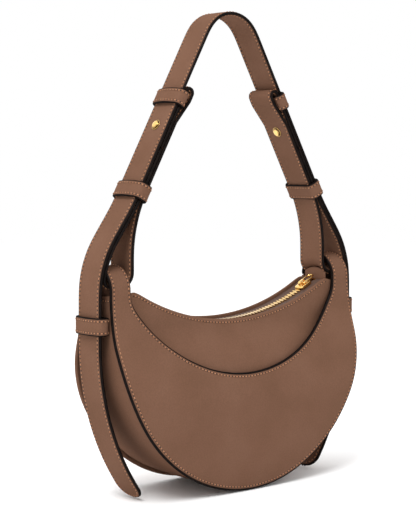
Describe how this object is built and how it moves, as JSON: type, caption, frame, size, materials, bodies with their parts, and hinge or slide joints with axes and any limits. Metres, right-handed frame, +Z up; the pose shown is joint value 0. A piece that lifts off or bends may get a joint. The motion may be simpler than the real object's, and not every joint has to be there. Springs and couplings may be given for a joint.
{
  "type": "half moon shoulder bag",
  "caption": "Half-moon leather shoulder bag with crescent overlays folding into arches, a curved metal zip, and a looped strap with keepers and studs.",
  "frame": {"origin": "centre of the round seat under the strap's apex, where a hand, shoulder or peg carries the bag", "axes": "+X to the bag's right seen from the front, +Y to the back, +Z up"},
  "size_m": [0.255, 0.07, 0.3612],
  "materials": {
    "leather": "smooth taupe leather with dark painted edges",
    "lining": "plain woven lining",
    "tape": "woven zip tape",
    "metal": "polished gold-coloured brass"
  },
  "bodies": {
    "strap": {"loop_strap_left": "leather", "loop_strap_right": "leather", "shoulder_belt": "leather", "stud_post_left": "metal", "stud_post_right": "metal", "stud_screw_left": "metal", "stud_screw_right": "metal", "upper_keeper_left": "leather", "upper_keeper_right": "leather"},
    "bag": {"back_crescent": "leather", "back_lining": "lining", "back_panel": "leather", "belt_side_left": "leather", "belt_side_right": "leather", "front_crescent": "leather", "front_lining": "lining", "front_panel": "leather", "gusset": "leather", "gusset_lining": "lining", "inner_pocket": "lining", "side_keeper_left": "leather", "side_keeper_right": "leather", "tab_left": "leather", "tab_right": "leather", "zip_stops": "metal", "zip_tape_back": "tape", "zip_tape_front": "tape", "zip_teeth_back": "metal", "zip_teeth_front": "metal"},
    "lower_keeper_left": {"lower_keeper_left": "leather"},
    "lower_keeper_right": {"lower_keeper_right": "leather"},
    "tail_left": {"tail_left": "leather"},
    "tail_right": {"tail_right": "leather"},
    "zip_pull": {"zip_pull": "metal"},
    "zip_slider": {"zip_slider": "metal"}
  },
  "joints": [
    {"name": "bag_swing", "type": "hinge", "parent": "strap", "child": "bag", "pos_m": [0, 0, -0.1799], "axis": [1, 0, 0], "range_deg": [-20, 20], "deforming": ["belt_side_left", "belt_side_right"]},
    {"name": "zip_slide", "type": "hinge", "parent": "bag", "child": "zip_slider", "pos_m": [0, 0, -0.02275], "axis": [0, 1, 0], "range_deg": [0, 55.5], "deforming": ["zip_teeth_front", "zip_teeth_back"]},
    {"name": "pull_flip", "type": "hinge", "parent": "zip_slider", "child": "zip_pull", "pos_m": [0.08377, 0, -0.18466], "axis": [0, -1, 0], "range_deg": [0, 165]},
    {"name": "lower_keeper_right_slide", "type": "slide", "parent": "strap", "child": "lower_keeper_right", "axis": [-0.4756, 0, 0.8796], "range_m": [0, 0.042]},
    {"name": "lower_keeper_left_slide", "type": "slide", "parent": "strap", "child": "lower_keeper_left", "axis": [0.4756, 0, 0.8796], "range_m": [0, 0.042]},
    {"name": "tail_right_flex", "type": "hinge", "parent": "bag", "child": "tail_right", "pos_m": [0.1239, 0, -0.2122], "axis": [0, -1, 0], "range_deg": [0, 45]},
    {"name": "tail_left_flex", "type": "hinge", "parent": "bag", "child": "tail_left", "pos_m": [-0.1239, 0, -0.2122], "axis": [0, 1, 0], "range_deg": [0, 45]}
  ]
}
